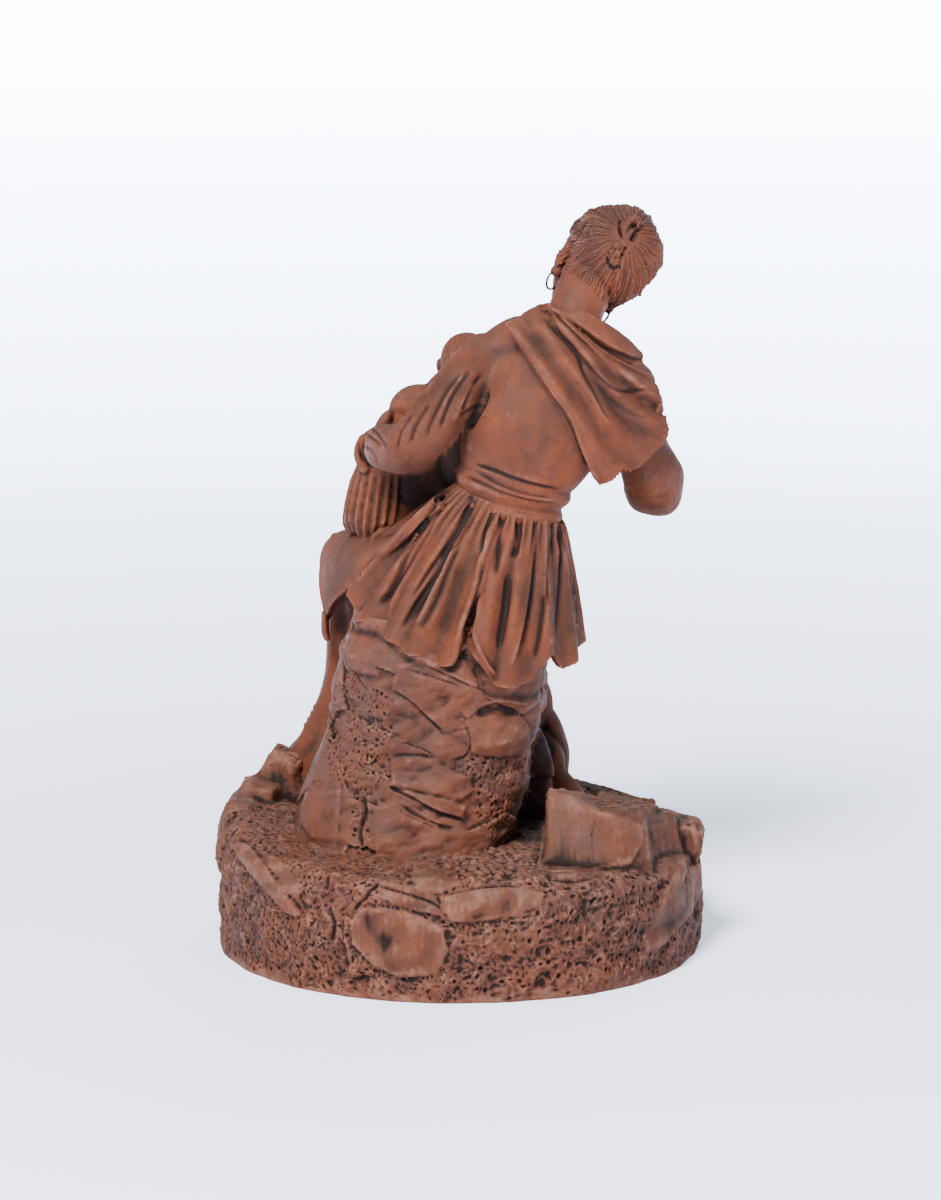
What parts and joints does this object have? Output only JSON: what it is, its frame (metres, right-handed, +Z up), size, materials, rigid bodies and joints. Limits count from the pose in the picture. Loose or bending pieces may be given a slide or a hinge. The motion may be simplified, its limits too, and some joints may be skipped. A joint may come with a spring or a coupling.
{
  "type": "terracotta figure group",
  "caption": "Terracotta group of a mother seated on a rock with a small child on her thigh, on a round rocky base, with wire hoop earrings.",
  "frame": {"origin": "middle of the flat underside of the round base", "axes": "+Z up, +Y the way the mother faces, +X to her right"},
  "size_m": [0.2461, 0.2388, 0.371],
  "materials": {
    "terracotta": "unglazed fired clay, dark in the hollows and rubbed pale on the edges",
    "wire": "dark oxidised iron wire"
  },
  "bodies": {
    "root": {"mother_and_child_group": "terracotta", "earring_left": "wire", "earring_right": "wire"}
  },
  "joints": []
}
